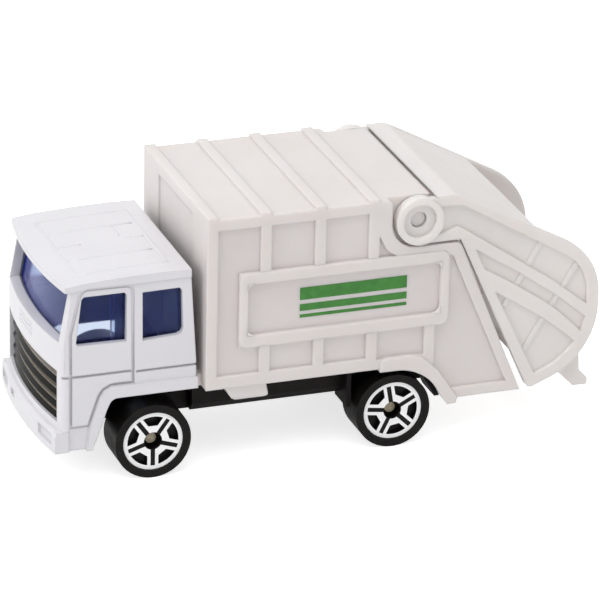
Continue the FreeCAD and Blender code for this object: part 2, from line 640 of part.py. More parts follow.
# ---------------------------------------------------------------- write every node
def build_nodes():
    nodes = {
        "cab_shell": make_cab(),
        "cab_glazing": make_glazing(),
        "cab_interior": make_interior(),
        "grille_insert": make_grille(),
        "chassis": make_chassis(),
        "rivet_front": make_rivet(POST_X),
        "rivet_rear": make_rivet(REAR_RIVET_X),
        "box_body": make_body(),
        "tailgate": make_tailgate(),
        "tank_left": make_tank(),
        "tank_right": mirrored(make_tank()),
    }
    for end, axle_x in (("front", FRONT_AXLE_X), ("rear", REAR_AXLE_X)):
        nodes["axle_" + end] = make_axle(axle_x)
        wheel = wheel_shape(PHASE[end])
        wheel.translate(V(axle_x, 0, WHEEL_R))
        nodes["wheel_" + end + "_left"] = wheel
        nodes["wheel_" + end + "_right"] = mirrored(wheel)
    return nodes


os.makedirs("parts", exist_ok=True)
for name, shape in build_nodes().items():
    solids = shape.Solids
    if len(solids) == 1:
        shape = solids[0]
    bounds = shape.BoundBox
    print("%-18s solids %d valid %s volume %8.1f  x %6.2f..%6.2f y %6.2f..%6.2f z %6.2f..%6.2f" % (
        name, len(solids), shape.isValid(), shape.Volume, bounds.XMin, bounds.XMax,
        bounds.YMin, bounds.YMax, bounds.ZMin, bounds.ZMax))
    shape.exportStep("parts/" + name + ".step")
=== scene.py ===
import json
import math
from collections import namedtuple

import bmesh
import bpy
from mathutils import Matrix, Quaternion, Vector


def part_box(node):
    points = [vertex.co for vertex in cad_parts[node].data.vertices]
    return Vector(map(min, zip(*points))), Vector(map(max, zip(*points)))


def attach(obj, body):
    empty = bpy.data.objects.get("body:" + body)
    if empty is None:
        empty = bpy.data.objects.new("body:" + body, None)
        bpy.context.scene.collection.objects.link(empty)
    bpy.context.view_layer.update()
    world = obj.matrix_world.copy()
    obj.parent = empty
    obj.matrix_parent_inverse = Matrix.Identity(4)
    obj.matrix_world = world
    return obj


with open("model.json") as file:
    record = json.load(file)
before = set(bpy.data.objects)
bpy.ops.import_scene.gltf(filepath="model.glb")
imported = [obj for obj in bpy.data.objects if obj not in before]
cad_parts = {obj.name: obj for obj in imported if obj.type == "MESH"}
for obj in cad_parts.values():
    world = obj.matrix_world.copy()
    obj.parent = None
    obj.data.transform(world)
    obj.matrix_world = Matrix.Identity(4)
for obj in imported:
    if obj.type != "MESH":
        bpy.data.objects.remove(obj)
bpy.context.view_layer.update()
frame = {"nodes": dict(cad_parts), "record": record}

MM = 0.001
SIDES = (("left", 1), ("right", -1))   # side of the truck and sign of y there


# ---------------------------------------------------------------- node helpers
NOISE_FROM = 0.3          # most of a noise node's values lie between these two
NOISE_TO = 0.7


def shader(name):
    """A new material with a Principled shader; returns (material, tree, principled)."""
    mat = bpy.data.materials.new(name)
    mat.use_nodes = True
    tree = mat.node_tree
    tree.nodes.clear()
    out = tree.nodes.new("ShaderNodeOutputMaterial")
    bsdf = tree.nodes.new("ShaderNodeBsdfPrincipled")
    tree.links.new(bsdf.outputs["BSDF"], out.inputs["Surface"])
    return mat, tree, bsdf


def output_node(tree):
    """The output node of a tree made by shader()."""
    return next(node for node in tree.nodes if node.type == "OUTPUT_MATERIAL")


def math_node(tree, operation, *values):
    """One Math node; each value is a number or a socket."""
    node = tree.nodes.new("ShaderNodeMath")
    node.operation = operation
    for socket, value in zip(node.inputs, values):
        if isinstance(value, (int, float)):
            socket.default_value = value
        else:
            tree.links.new(value, socket)
    return node.outputs[0]


def noise(tree, scale, detail):
    """Noise over the object's own coordinates; scale is in features per metre."""
    coords = tree.nodes.new("ShaderNodeTexCoord")
    node = tree.nodes.new("ShaderNodeTexNoise")
    node.inputs["Scale"].default_value = scale
    node.inputs["Detail"].default_value = detail
    node.inputs["Roughness"].default_value = 0.5
    tree.links.new(coords.outputs["Object"], node.inputs["Vector"])
    return node.outputs["Fac"]


def ramp(tree, value, low, high, start=NOISE_FROM, end=NOISE_TO):
    """Maps a value that runs from start to end to the range from low to high."""
    node = tree.nodes.new("ShaderNodeMapRange")
    node.inputs["From Min"].default_value = start
    node.inputs["From Max"].default_value = end
    node.inputs["To Min"].default_value = low
    node.inputs["To Max"].default_value = high
    tree.links.new(value, node.inputs["Value"])
    return node.outputs["Result"]


def mixed(tree, share, first, second):
    """Goes from the first colour to the second; each is an (r, g, b) tuple or a socket."""
    node = tree.nodes.new("ShaderNodeMix")
    node.data_type = "RGBA"
    tree.links.new(share, node.inputs["Factor"])
    for key, colour in (("A", first), ("B", second)):
        if isinstance(colour, tuple):
            node.inputs[key].default_value = (*colour, 1)
        else:
            tree.links.new(colour, node.inputs[key])
    return node.outputs["Result"]


def split_coords(tree, kind):
    """The x, y and z sockets of the object's own coordinates, or of its normals."""
    coords = tree.nodes.new("ShaderNodeTexCoord")
    split = tree.nodes.new("ShaderNodeSeparateXYZ")
    tree.links.new(coords.outputs[kind], split.inputs[0])
    return split.outputs


# ---------------------------------------------------------------- masks
# Inside of the cab: half width, height, and the inner face of its bowed front, which leans
# back above the waist.
CAB_INSIDE_HALF = 13.52 * MM
CAB_INSIDE_TOP = 32.02 * MM
CAB_INSIDE_FRONT = 41.7 * MM
CAB_BOW = 6.4             # how the front falls back beside the middle, per metre
CAB_WAIST = 22.8 * MM
CAB_LEAN = 0.185          # how far the front goes back for its height


def inside_cab(tree):
    """1 on the inner faces of the cab, drawn darker grey, 0 on its painted outside."""
    x, y, z = split_coords(tree, "Object")
    bow = math_node(tree, "MULTIPLY", math_node(tree, "MULTIPLY", y, y), CAB_BOW)
    above_waist = math_node(tree, "MAXIMUM", math_node(tree, "SUBTRACT", z, CAB_WAIST), 0.0)
    lean = math_node(tree, "MULTIPLY", above_waist, CAB_LEAN)
    reach = math_node(tree, "ADD", math_node(tree, "ADD", x, bow), lean)
    behind_front = math_node(tree, "LESS_THAN", reach, CAB_INSIDE_FRONT)
    between_sides = math_node(tree, "LESS_THAN", math_node(tree, "ABSOLUTE", y), CAB_INSIDE_HALF)
    under_roof = math_node(tree, "LESS_THAN", z, CAB_INSIDE_TOP)
    return math_node(tree, "MULTIPLY", behind_front,
                     math_node(tree, "MULTIPLY", between_sides, under_roof))


# The sunk panels of the box's sides are drawn darker than the ribs and frames round them:
# painted shade for their recess. A panel's face lies between the first two distances from the
# middle plane, and a rib is at its full thickness from the third one.
PANEL_FROM = 14.95 * MM
PANEL_TO = 15.35 * MM
RIB_FROM = 15.75 * MM
PANEL_TOP = 40.9 * MM      # height of the panels' upper end
FOOT_LOW = 9.0 * MM       # up to this height only FOOT_SHARE of the painted shade shows, and from this one all of it
FOOT_HIGH = 26.0 * MM     # from this one all of it
FOOT_SHARE = 0.2


def panel_shade(tree):
    """1 where the sunk side panels of the box get painted shade, fading to 0 up the flanks of
    the ribs.
    """
    _, y, z = split_coords(tree, "Object")
    half = math_node(tree, "ABSOLUTE", y)
    outside = math_node(tree, "GREATER_THAN", half, PANEL_FROM)
    below = math_node(tree, "LESS_THAN", z, PANEL_TOP)
    sunk = ramp(tree, half, 1.0, 0.0, PANEL_TO, RIB_FROM)
    foot = ramp(tree, z, FOOT_SHARE, 1.0, FOOT_LOW, FOOT_HIGH)
    panel = math_node(tree, "MULTIPLY", outside, below)
    return math_node(tree, "MULTIPLY", math_node(tree, "MULTIPLY", sunk, foot), panel)


HIGHLIGHT_FROM = 0.6         # upward part of a louvre's normal where its painted highlight begins, and where it is at full strength
HIGHLIGHT_FULL = 0.85        # where all of it is rubbed


# Mask of the painted highlight on the louvres' tops.
def facing_up(tree):
    """1 on faces that look up, 0 on the others."""
    return ramp(tree, split_coords(tree, "Normal")[2], 0.0, 1.0, HIGHLIGHT_FROM, HIGHLIGHT_FULL)


# ---------------------------------------------------------------- finishes
# What varies over a surface, each by a noise with scale features per metre: its colour between
# two shades, its roughness, and a relief of a height in metres.
Shades = namedtuple("Shades", "scale detail dark light")
Gloss = namedtuple("Gloss", "scale smooth rough")
Relief = namedtuple("Relief", "scale detail height strength")

GLOSS_DETAIL = 2.0
EDGE_SAMPLES = 6          # of the shader that rounds edges


def shaded(tree, shades):
    """Colour that wanders between two shades."""
    share = ramp(tree, noise(tree, shades.scale, shades.detail), 0, 1)
    return mixed(tree, share, shades.dark, shades.light)


def add_relief(tree, bsdf, relief, round_edges):
    """Fine surface relief, with edges shaded as if rounded to the radius round_edges."""
    node = tree.nodes.new("ShaderNodeBump")
    if round_edges:
        edge = tree.nodes.new("ShaderNodeBevel")
        edge.samples = EDGE_SAMPLES
        edge.inputs["Radius"].default_value = round_edges
        tree.links.new(edge.outputs["Normal"], node.inputs["Normal"])
    node.inputs["Distance"].default_value = relief.height
    node.inputs["Strength"].default_value = relief.strength
    tree.links.new(noise(tree, relief.scale, relief.detail), node.inputs["Height"])
    tree.links.new(node.outputs["Normal"], bsdf.inputs["Normal"])


def finish(name, shades, gloss, relief, settings=None, over=None, round_edges=0.0):
    """A procedural material.

    settings are plain values of the shader's own sockets, over is (mask, shades) for a second
    colour where mask(tree) is 1, and round_edges is as in add_relief.
    """
    mat, tree, bsdf = shader(name)
    colour = shaded(tree, shades)
    if over:
        mask, second = over
        colour = mixed(tree, mask(tree), colour, shaded(tree, second))
    tree.links.new(colour, bsdf.inputs["Base Color"])
    rough = ramp(tree, noise(tree, gloss.scale, GLOSS_DETAIL), gloss.smooth, gloss.rough)
    tree.links.new(rough, bsdf.inputs["Roughness"])
    for socket, value in (settings or {}).items():
        bsdf.inputs[socket].default_value = value
    add_relief(tree, bsdf, relief, round_edges)
    return mat


def dyed(mat, colour, density):
    """Gives a clear material a dye that colours light by the thickness it goes through."""
    tree = mat.node_tree
    dye = tree.nodes.new("ShaderNodeVolumeAbsorption")
    dye.inputs["Color"].default_value = (*colour, 1)
    dye.inputs["Density"].default_value = density
    tree.links.new(dye.outputs[0], output_node(tree).inputs["Volume"])
    return mat


# Cool white enamel with faint orange peel over die-cast metal, drawn darker grey inside the cab.
CAB_PAINT = {
    "shades": Shades(90, 2.0, (0.695, 0.683, 0.712), (0.73, 0.718, 0.747)),
    "gloss": Gloss(400, 0.28, 0.36),
    "relief": Relief(900, 1.0, 0.03 * MM, 0.25),
    "settings": {"Coat Weight": 0.4, "Coat Roughness": 0.12},
    "over": (inside_cab, Shades(350, 4.0, (0.16, 0.165, 0.18), (0.24, 0.245, 0.26))),
}
CAB_EDGE = 0.3 * MM

# Warm white moulded plastic with a satin surface, which light enters a little way.
BOX_SHADES = Shades(60, 3.0, (0.71, 0.663, 0.645), (0.75, 0.71, 0.695))
# The same white made darker: painted shade on the box's sunk side panels.
BOX_PANELS_SHADED = Shades(90, 3.0, (0.69, 0.642, 0.632), (0.74, 0.695, 0.683))
TAILGATE_SHADES = Shades(60, 3.0, (0.745, 0.705, 0.685), (0.785, 0.75, 0.73))
WHITE_GLOSS = Gloss(500, 0.34, 0.46)
WHITE_RELIEF = Relief(2500, 2.0, 0.02 * MM, 0.2)
WHITE_EDGE = 0.45 * MM
TRANSLUCENT = {
    "Subsurface Weight": 0.65,
    "Subsurface Radius": (1.0, 0.88, 0.78),
    "Subsurface Scale": 1.5 * MM,
}

# Clear styrene; its blue is a dye, helped by painted blue reflections and a painted blue sheen.
GLAZING_SETTINGS = {
    "Transmission Weight": 1.0,
    "IOR": 1.42,
    "Specular Tint": (0.38, 0.45, 1.0, 1),
    # Painted sheen: a blue glow standing in for light scattered in the dyed plastic.
    "Sheen Weight": 0.35,
    "Sheen Roughness": 0.6,
    "Sheen Tint": (0.08, 0.12, 1.0, 1),
}
DYE = (0.06, 0.34, 0.72)
DYE_DENSITY = 420.0


def make_materials():
    """Every finish, by its slot in the record or by a name used in this file."""
    return {
        "cab_paint": finish("cab_paint", **CAB_PAINT, round_edges=CAB_EDGE),
        "cab_ridges": finish("cab_ridges", **CAB_PAINT),
        # The box's white, with painted shade on its sunk side panels.
        "white_plastic": finish(
            "body_plastic", BOX_SHADES, WHITE_GLOSS, WHITE_RELIEF, TRANSLUCENT,
            over=(panel_shade, BOX_PANELS_SHADED), round_edges=WHITE_EDGE),
        "tailgate": finish(
            "tailgate_plastic", TAILGATE_SHADES, WHITE_GLOSS, WHITE_RELIEF, TRANSLUCENT,
            round_edges=WHITE_EDGE),
        "small_plastic": finish(
            "small_plastic", TAILGATE_SHADES, WHITE_GLOSS, WHITE_RELIEF,
            {**TRANSLUCENT, "Subsurface Weight": 0.0}),
        # Satin black of the base.
        "black_plastic": finish(
            "base_plastic",
            Shades(300, 2.0, (0.006, 0.005, 0.005), (0.011, 0.009, 0.008)),
            Gloss(700, 0.4, 0.55), Relief(3500, 2.0, 0.02 * MM, 0.3),
            {"Specular IOR Level": 0.12}),
        # Semi-gloss black of the wheels.
        "wheel_plastic": finish(
            "wheel_plastic",
            Shades(500, 2.0, (0.005, 0.004, 0.004), (0.009, 0.008, 0.007)),
            Gloss(900, 0.3, 0.42), Relief(3000, 2.0, 0.015 * MM, 0.25),
            {"Specular IOR Level": 0.14}),
        # White hot-stamped foil.
        "white_print": finish(
            "wheel_print",
            Shades(1500, 3.0, (0.94, 0.94, 0.95), (0.98, 0.98, 0.99)),
            Gloss(2500, 0.3, 0.45), Relief(5000, 2.0, 0.01 * MM, 0.3)),
        # Pad-printed green ink, slightly uneven.
        "green_print": finish(
            "green_print",
            Shades(900, 4.0, (0.026, 0.17, 0.016), (0.042, 0.235, 0.026)),
            Gloss(1500, 0.3, 0.45), Relief(4000, 3.0, 0.01 * MM, 0.3)),
        # Glossy black louvres, with a dull brown grey painted highlight on top.
        "grille": finish(
            "grille_plastic",
            Shades(300, 2.0, (0.003, 0.003, 0.002), (0.006, 0.005, 0.004)),
            Gloss(700, 0.16, 0.24), Relief(1200, 1.0, 0.008 * MM, 0.1),
            {"Specular IOR Level": 0.1},
            over=(facing_up, Shades(1500, 2.0, (0.42, 0.37, 0.31), (0.50, 0.45, 0.38)))),
        "blue_glazing": dyed(finish(
            "glazing",
            Shades(150, 2.0, (0.90, 0.93, 0.97), (0.95, 0.97, 1.0)),
            Gloss(600, 0.03, 0.07), Relief(500, 1.0, 0.02 * MM, 0.15),
            GLAZING_SETTINGS), DYE, DYE_DENSITY),
        # Dull plated steel of the pins and rivets.
        "steel": finish(
            "steel",
            Shades(1800, 3.0, (0.19, 0.165, 0.12), (0.33, 0.29, 0.22)),
            Gloss(2500, 0.3, 0.5), Relief(4000, 3.0, 0.02 * MM, 0.5),
            {"Metallic": 1.0}),
    }


MATERIALS = make_materials()


# ---------------------------------------------------------------- CAD nodes
# Width of the edge radius of the nodes whose names begin so, in mm. The others keep their edges.
EDGE_WIDTH = {
    "cab_shell": 0.18, "box_body": 0.28, "tailgate": 0.28, "tank": 0.45, "chassis": 0.15,
    "grille_insert": 0.12, "cab_interior": 0.2,
}
WELD_DISTANCE = 1e-7
FLAT_ANGLE = math.radians(0.5)    # faces that meet at less than this are one
SHARP_ANGLE = math.radians(25)    # edges that bend more than this are rounded
EDGE_SEGMENTS = 3
NORMAL_WEIGHT = 60                # how much large faces keep their own shading

TYRE_EDGE = 0.5 * MM              # width of the radius of a tyre's two rims
TYRE_SEGMENTS = 4
TYRE_RIM_R = 5.9 * MM             # a wheel's edges further out than this are its tyre's rims
OTHER_EDGES = 0.16                # width of a wheel's other edges, as a share of the rims'
WEIGHTS_PLACE = 2                 # in the list of modifiers, just before the bevel

# Nodes whose finish differs from the others of their slot.
OWN_FINISH = {
    "grille_insert": "grille", "tailgate": "tailgate",
    "tank_left": "tailgate", "tank_right": "tailgate",
}


def soften(obj, width):
    """Joins the facets of flat faces and rounds the edges between faces."""
    for poly in obj.data.polygons:
        poly.use_smooth = True
    weld = obj.modifiers.new("weld", "WELD")
    weld.merge_threshold = WELD_DISTANCE
    flat = obj.modifiers.new("flat", "DECIMATE")
    flat.decimate_type = "DISSOLVE"
    flat.angle_limit = FLAT_ANGLE
    edge = obj.modifiers.new("edge", "BEVEL")
    edge.width = width
    edge.segments = EDGE_SEGMENTS
    edge.limit_method = "ANGLE"
    edge.angle_limit = SHARP_ANGLE
    edge.use_clamp_overlap = True
    edge.harden_normals = True
    even = obj.modifiers.new("even", "WEIGHTED_NORMAL")
    even.keep_sharp = True
    even.weight = NORMAL_WEIGHT


def tyre_weights(name, centre_x, centre_z):
    """Node group that writes bevel weights: full on the tyre's rims, small on other edges."""
    group = bpy.data.node_groups.new(name, "GeometryNodeTree")
    group.interface.new_socket("Geometry", in_out="INPUT", socket_type="NodeSocketGeometry")
    group.interface.new_socket("Geometry", in_out="OUTPUT", socket_type="NodeSocketGeometry")
    source = group.nodes.new("NodeGroupInput")
    result = group.nodes.new("NodeGroupOutput")
    place = group.nodes.new("GeometryNodeInputPosition")
    split = group.nodes.new("ShaderNodeSeparateXYZ")
    group.links.new(place.outputs[0], split.inputs[0])
    across = math_node(group, "SUBTRACT", split.outputs[0], centre_x)
    up = math_node(group, "SUBTRACT", split.outputs[2], centre_z)
    squared = math_node(group, "ADD", math_node(group, "MULTIPLY", across, across),
                        math_node(group, "MULTIPLY", up, up))
    on_rim = math_node(group, "GREATER_THAN", squared, TYRE_RIM_R ** 2)
    bend = group.nodes.new("GeometryNodeInputMeshEdgeAngle")
    sharp = math_node(group, "GREATER_THAN", bend.outputs["Unsigned Angle"], SHARP_ANGLE)
    size = math_node(group, "MAXIMUM", on_rim, OTHER_EDGES)
    store = group.nodes.new("GeometryNodeStoreNamedAttribute")
    store.data_type = "FLOAT"
    store.domain = "EDGE"
    store.inputs["Name"].default_value = "bevel_weight_edge"
    group.links.new(math_node(group, "MULTIPLY", size, sharp), store.inputs["Value"])
    group.links.new(source.outputs[0], store.inputs["Geometry"])
    group.links.new(store.outputs["Geometry"], result.inputs[0])
    return group


def wheel_centre(node):
    """x and z of a wheel's axle, and how far its outer side is from the middle plane."""
    low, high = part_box(node)
    outer_y = max(abs(low[1]), abs(high[1]))
    return (low[0] + high[0]) / 2, (low[2] + high[2]) / 2, outer_y


def round_tyre(obj, name):
    """As soften, with a large radius on the two rims of the tyre."""
    centre_x, centre_z, _ = wheel_centre(name)
    soften(obj, TYRE_EDGE)
    weights = obj.modifiers.new("weights", "NODES")
    weights.node_group = tyre_weights(name + "_weights", centre_x, centre_z)
    obj.modifiers.move(len(obj.modifiers) - 1, WEIGHTS_PLACE)
    obj.modifiers["edge"].limit_method = "WEIGHT"
    obj.modifiers["edge"].segments = TYRE_SEGMENTS


def finish_nodes():
    """Gives every CAD node its material and its edges."""
    slots = {part["node"]: part["material_slot"] for part in frame["record"]["subparts"]}
    for name, obj in frame["nodes"].items():
        obj.data.materials.clear()
        obj.data.materials.append(MATERIALS[OWN_FINISH.get(name, slots[name])])
        if name.startswith("wheel"):
            round_tyre(obj, name)
        for start, width in EDGE_WIDTH.items():
            if name.startswith(start):
                soften(obj, width * MM)


# ---------------------------------------------------------------- drawings on flat faces
PRINT_THICKNESS = 0.05 * MM


def arc_points(radius, start, end, steps):
    """Points (u, v) on an arc about the origin, angles in radians."""
    angles = [start + (end - start) * i / steps for i in range(steps + 1)]
    return [(radius * math.cos(a), radius * math.sin(a)) for a in angles]


def turned(points, angle):
    """Points (u, v) turned about the origin."""
    c, s = math.cos(angle), math.sin(angle)
    return [(u * c - v * s, u * s + v * c) for u, v in points]


def on_side(sign, face_y, centre_x=0.0, centre_z=0.0):
    """Function that lays a drawing's (u, v, w) on a side of the truck, w being outward."""
    def place(u, v, w):
        return Vector((centre_x + u, sign * (face_y + w), centre_z + v))
    return place


def new_piece(name, mesh, material):
    """Object of a mesh, in the scene and in its finish."""
    piece = bpy.data.objects.new(name, mesh)
    bpy.context.scene.collection.objects.link(piece)
    mesh.materials.append(MATERIALS[material])
    return piece


def flat_sheet(name, loops, thickness, place, material):
    """Thin solid sheet from outlines (u, v) in mm, filled where an odd number of them overlap.

    place maps (u, v, w) in metres to space, w being the height above the surface.
    """
    curve = bpy.data.curves.new(name, "CURVE")
    curve.dimensions = "2D"
    curve.fill_mode = "BOTH"
    curve.extrude = thickness / 2
    for loop in loops:
        line = curve.splines.new("POLY")
        line.points.add(len(loop) - 1)
        for point, (u, v) in zip(line.points, loop):
            point.co = (u * MM, v * MM, 0, 1)
        line.use_cyclic_u = True
    drawing = bpy.data.objects.new(name + "_drawing", curve)
    mesh = bpy.data.meshes.new_from_object(drawing)
    bpy.data.objects.remove(drawing)
    bpy.data.curves.remove(curve)
    mesh.name = name
    built = bmesh.new()
    built.from_mesh(mesh)
    bmesh.ops.remove_doubles(built, verts=built.verts, dist=WELD_DISTANCE)
    for vert in built.verts:
        vert.co = place(vert.co.x, vert.co.y, vert.co.z + thickness / 2)
    bmesh.ops.recalc_face_normals(built, faces=built.faces)
    built.to_mesh(mesh)
    built.free()
    return new_piece(name, mesh, material)


# ---------------------------------------------------------------- white print on the wheels
SPOKES = 5
HALF_TURN = math.pi / SPOKES      # from a spoke to the middle of the window beside it
# The print's outer edge, the windows between the spokes, and the black hub with its channel
# down the middle of each spoke, in mm.
PRINT_R = 4.7
WINDOW_IN = 2.5
WINDOW_OUT = 4.05
SPOKE_HALF = 0.87
HUB_R = 1.45
CHANNEL_HALF = 0.36
CHANNEL_R = 4.1
RIM_STEPS = 96
WINDOW_STEPS = 16
HUB_STEPS = 10
WHEEL_FACE_INSET = 0.35 * MM      # of the wheel's face behind the tyre's side
SPOKE_ANGLE = {"front": -90.0, "rear": 8.0}   # of one spoke, degrees from +X towards +Z


def window_loop():
    """Window between two spokes, about the direction u: chord inside, rim arc outside."""
    v_in = (WINDOW_IN * math.sin(HALF_TURN) - SPOKE_HALF) / math.cos(HALF_TURN)
    rim_turn = HALF_TURN - math.asin(SPOKE_HALF / WINDOW_OUT)
    rim = arc_points(WINDOW_OUT, -rim_turn, rim_turn, WINDOW_STEPS)
    return [(WINDOW_IN, v_in), (WINDOW_IN, -v_in)] + rim


def hub_loop():
    """Hub circle joined with the channel of each spoke; one spoke lies along u."""
    side = math.asin(CHANNEL_HALF / HUB_R)
    reach = math.sqrt(CHANNEL_R ** 2 - CHANNEL_HALF ** 2)
    points = []
    for i in range(SPOKES):
        part = [(reach, -CHANNEL_HALF), (reach, CHANNEL_HALF)]
        part += arc_points(HUB_R, side, 2 * HALF_TURN - side, HUB_STEPS)
        points += turned(part, 2 * HALF_TURN * i)
    return points


def wheel_prints():
    """White hot-stamped pattern on the face of each wheel."""
    for end, degrees in SPOKE_ANGLE.items():
        phase = math.radians(degrees)
        last = RIM_STEPS - 1
        rim = arc_points(PRINT_R, 0, 2 * math.pi * last / RIM_STEPS, last)
        loops = [rim, turned(hub_loop(), phase)]
        for i in range(SPOKES):
            loops.append(turned(window_loop(), phase + HALF_TURN * (2 * i + 1)))
        for side, sign in SIDES:
            node = "wheel_%s_%s" % (end, side)
            centre_x, centre_z, outer_y = wheel_centre(node)
            place = on_side(sign, outer_y - WHEEL_FACE_INSET, centre_x, centre_z)
            piece = flat_sheet("print_%s_%s" % (end, side), loops, PRINT_THICKNESS, place,
                               "white_print")
            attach(piece, node)


# ---------------------------------------------------------------- signs
SIGN_FIELD_Y = 15.15 * MM
# Green stripes on the sunk field of each sign, (x0, x1, z0, z1) in mm.
SIGN_STRIPES = ((-12.6, 4.6, 26.5, 28.5), (-12.6, 4.6, 24.7, 25.8), (-12.6, 4.6, 23.6, 24.1))

# Corners (x, z) of the field inside each sign's frame, which are filled to a radius, in mm.
SIGN_FIELD = ((13.1, 21.9), (13.1, 30.35), (-17.9, 30.35), (-17.9, 21.9))
CORNER_R = 1.2
CORNER_STEPS = 8
CORNER_SUNK = 0.1         # how far a corner's fillet goes into the frame beside it, in mm
CORNER_DEPTH = 0.78 * MM


def sign_stripes():
    """Plain printed stripes where the real sign has its print."""
    loops = [[(x0, z0), (x1, z0), (x1, z1), (x0, z1)] for x0, x1, z0, z1 in SIGN_STRIPES]
    for side, sign in SIDES:
        piece = flat_sheet("stripes_" + side, loops, PRINT_THICKNESS,
                           on_side(sign, SIGN_FIELD_Y), "green_print")
        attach(piece, "root")


def sign_corners():
    """Fillets in the inner corners of each sign's frame."""
    middle_x = sum(x for x, z in SIGN_FIELD) / len(SIGN_FIELD)
    middle_z = sum(z for x, z in SIGN_FIELD) / len(SIGN_FIELD)
    loops = []
    for x, z in SIGN_FIELD:
        to_x = math.copysign(1, middle_x - x)
        to_z = math.copysign(1, middle_z - z)
        arc = [(x + to_x * (CORNER_R - u), z + to_z * (CORNER_R - v))
               for u, v in arc_points(CORNER_R, 0, math.pi / 2, CORNER_STEPS)]
        back_x = x - to_x * CORNER_SUNK
        back_z = z - to_z * CORNER_SUNK
        loops.append([(back_x, back_z), (back_x, arc[0][1]), *arc, (arc[-1][0], back_z)])
    for side, sign in SIDES:
        piece = flat_sheet("sign_corners_" + side, loops, CORNER_DEPTH,
                           on_side(sign, SIGN_FIELD_Y), "small_plastic")
        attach(piece, "root")


# ---------------------------------------------------------------- cast lines on the cab, in mm
# A ridge's section, (across, up) as shares of its width and height, and how far it is sunk.
RIDGE_SECTION = ((-0.5, 0.0), (-0.25, 1.0), (0.25, 1.0), (0.5, 0.0))
RIDGE_SUNK = 0.03
LEAST_MITRE = 0.5         # cosine of half a corner's turn, below which it isn't widened more


def ridge_row(built, points, closed, i, width, height):
    """Vertices across a ridge at its point i, mitred where the line turns."""
    here, outward = points[i]
    before = points[i - 1][0] if closed or i else here
    after = points[(i + 1) % len(points)][0] if closed or i < len(points) - 1 else here
    into = (here - before).normalized() if here != before else (after - here).normalized()
    onward = (after - here).normalized() if after != here else into
    tangent = (into + onward).normalized()
    reach = 1 / max(LEAST_MITRE, tangent.dot(onward))
    sideways = outward.cross(tangent).normalized() * reach
    row = []
    for share, rise in RIDGE_SECTION:
        lift = height * rise - RIDGE_SUNK * (1 - rise)
        row.append(built.verts.new((here + sideways * width * share + outward * lift) * MM))
    return row


def ridge(name, lines, width, height):
    """Low ridges; each line is (points, closed), a point being (position, outward)."""
    built = bmesh.new()
    for points, closed in lines:
        rows = [ridge_row(built, points, closed, i, width, height) for i in range(len(points))]
        pairs = list(zip(rows, rows[1:])) + ([(rows[-1], rows[0])] if closed else [])
        for first, second in pairs:
            for k in range(len(first)):
                n = (k + 1) % len(first)
                built.faces.new((first[k], first[n], second[n], second[k]))
        if not closed:
            built.faces.new(rows[0])
            built.faces.new(rows[-1][::-1])
    bmesh.ops.recalc_face_normals(built, faces=built.faces)
    mesh = bpy.data.meshes.new(name)
    built.to_mesh(mesh)
    built.free()
    for poly in mesh.polygons:
        poly.use_smooth = True
    piece = new_piece(name, mesh, "cab_ridges")
    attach(piece, "root")


# Top of the cab roof from back to front, (x, z).
ROOF_TOP = ((21.55, 33.26), (25.8, 33.35), (30.85, 33.26), (37.45, 32.96), (41.3, 32.53))
# Outline of the roof's field, and the ends of the ridges inside it, (x, y).
ROOF_FIELD = ((24.2, -10.6), (38.6, -10.6), (38.6, 10.6), (24.2, 10.6))
ROOF_RIDGES = (
    ((24.8, -5.4), (38.2, -5.4)), ((34.6, 0.0), (38.2, 0.0)), ((24.7, 0.0), (27.5, 0.0)),
    ((24.9, 5.3), (38.2, 5.3)), ((28.2, -5.3), (28.2, -1.3)),
)
ROOF_RIDGE_WIDTH = 0.5
ROOF_RIDGE_HEIGHT = 0.07
ROOF_STEPS = 8


def on_roof(x, y):
    """Position and outward direction on the roof's top."""
    for (x0, z0), (x1, z1) in zip(ROOF_TOP, ROOF_TOP[1:]):
        if x <= x1:
            break
    return (Vector((x, y, z0 + (z1 - z0) * (x - x0) / (x1 - x0))),
            Vector((z0 - z1, 0, x1 - x0)).normalized())


def stepped(start, end):
    """Plan points from start up to, but without, end."""
    return [tuple(a + (b - a) * i / ROOF_STEPS for a, b in zip(start, end))
            for i in range(ROOF_STEPS)]


def roof_ridges():
    """Outline of a field on the roof, and short lines inside it."""
    outline = []
    for start, end in zip(ROOF_FIELD, ROOF_FIELD[1:] + ROOF_FIELD[:1]):
        outline += [on_roof(x, y) for x, y in stepped(start, end)]
    lines = [(outline, True)]
    for start, end in ROOF_RIDGES:
        lines.append(([on_roof(x, y) for x, y in stepped(start, end) + [end]], False))
    ridge("roof_ridges", lines, ROOF_RIDGE_WIDTH, ROOF_RIDGE_HEIGHT)


# Three short vent lines in the middle of the bowed face, above the grille.
VENT_Z = (22.3, 21.5, 20.7)
VENT_HALF = 3.0
VENT_WIDTH = 0.34
VENT_HEIGHT = 0.1
VENT_STEPS = 12
FACE_MIDDLE_X = 43.3
FACE_CORNER_X = 41.95
FACE_HALF = 14.5


def on_face(y, z):
    """Position and outward direction on the cab's front."""
    drop = (FACE_MIDDLE_X - FACE_CORNER_X) / FACE_HALF ** 2
    return (Vector((FACE_MIDDLE_X - drop * y * y, y, z)),
            Vector((1, 2 * drop * y, 0)).normalized())


def face_vents():
    """Vent lines above the grille."""
    across = [-VENT_HALF + 2 * VENT_HALF * i / VENT_STEPS for i in range(VENT_STEPS + 1)]
    lines = [([on_face(y, z) for y in across], False) for z in VENT_Z]
    ridge("face_vents", lines, VENT_WIDTH, VENT_HEIGHT)


# ---------------------------------------------------------------- stage, light and camera
FLOOR_HALF = 3.0
FLOOR_GREY = 0.88
FLOOR_ROUGHNESS = 0.9
CAMERA_GLOW = 0.7         # of the floor, on top of what the lamps give it
REFLECTED_GLOW = 0.15     # the same, in metal and glass
WORLD_AS_LIGHT = 0.6
WORLD_AS_BACKGROUND = 1.0

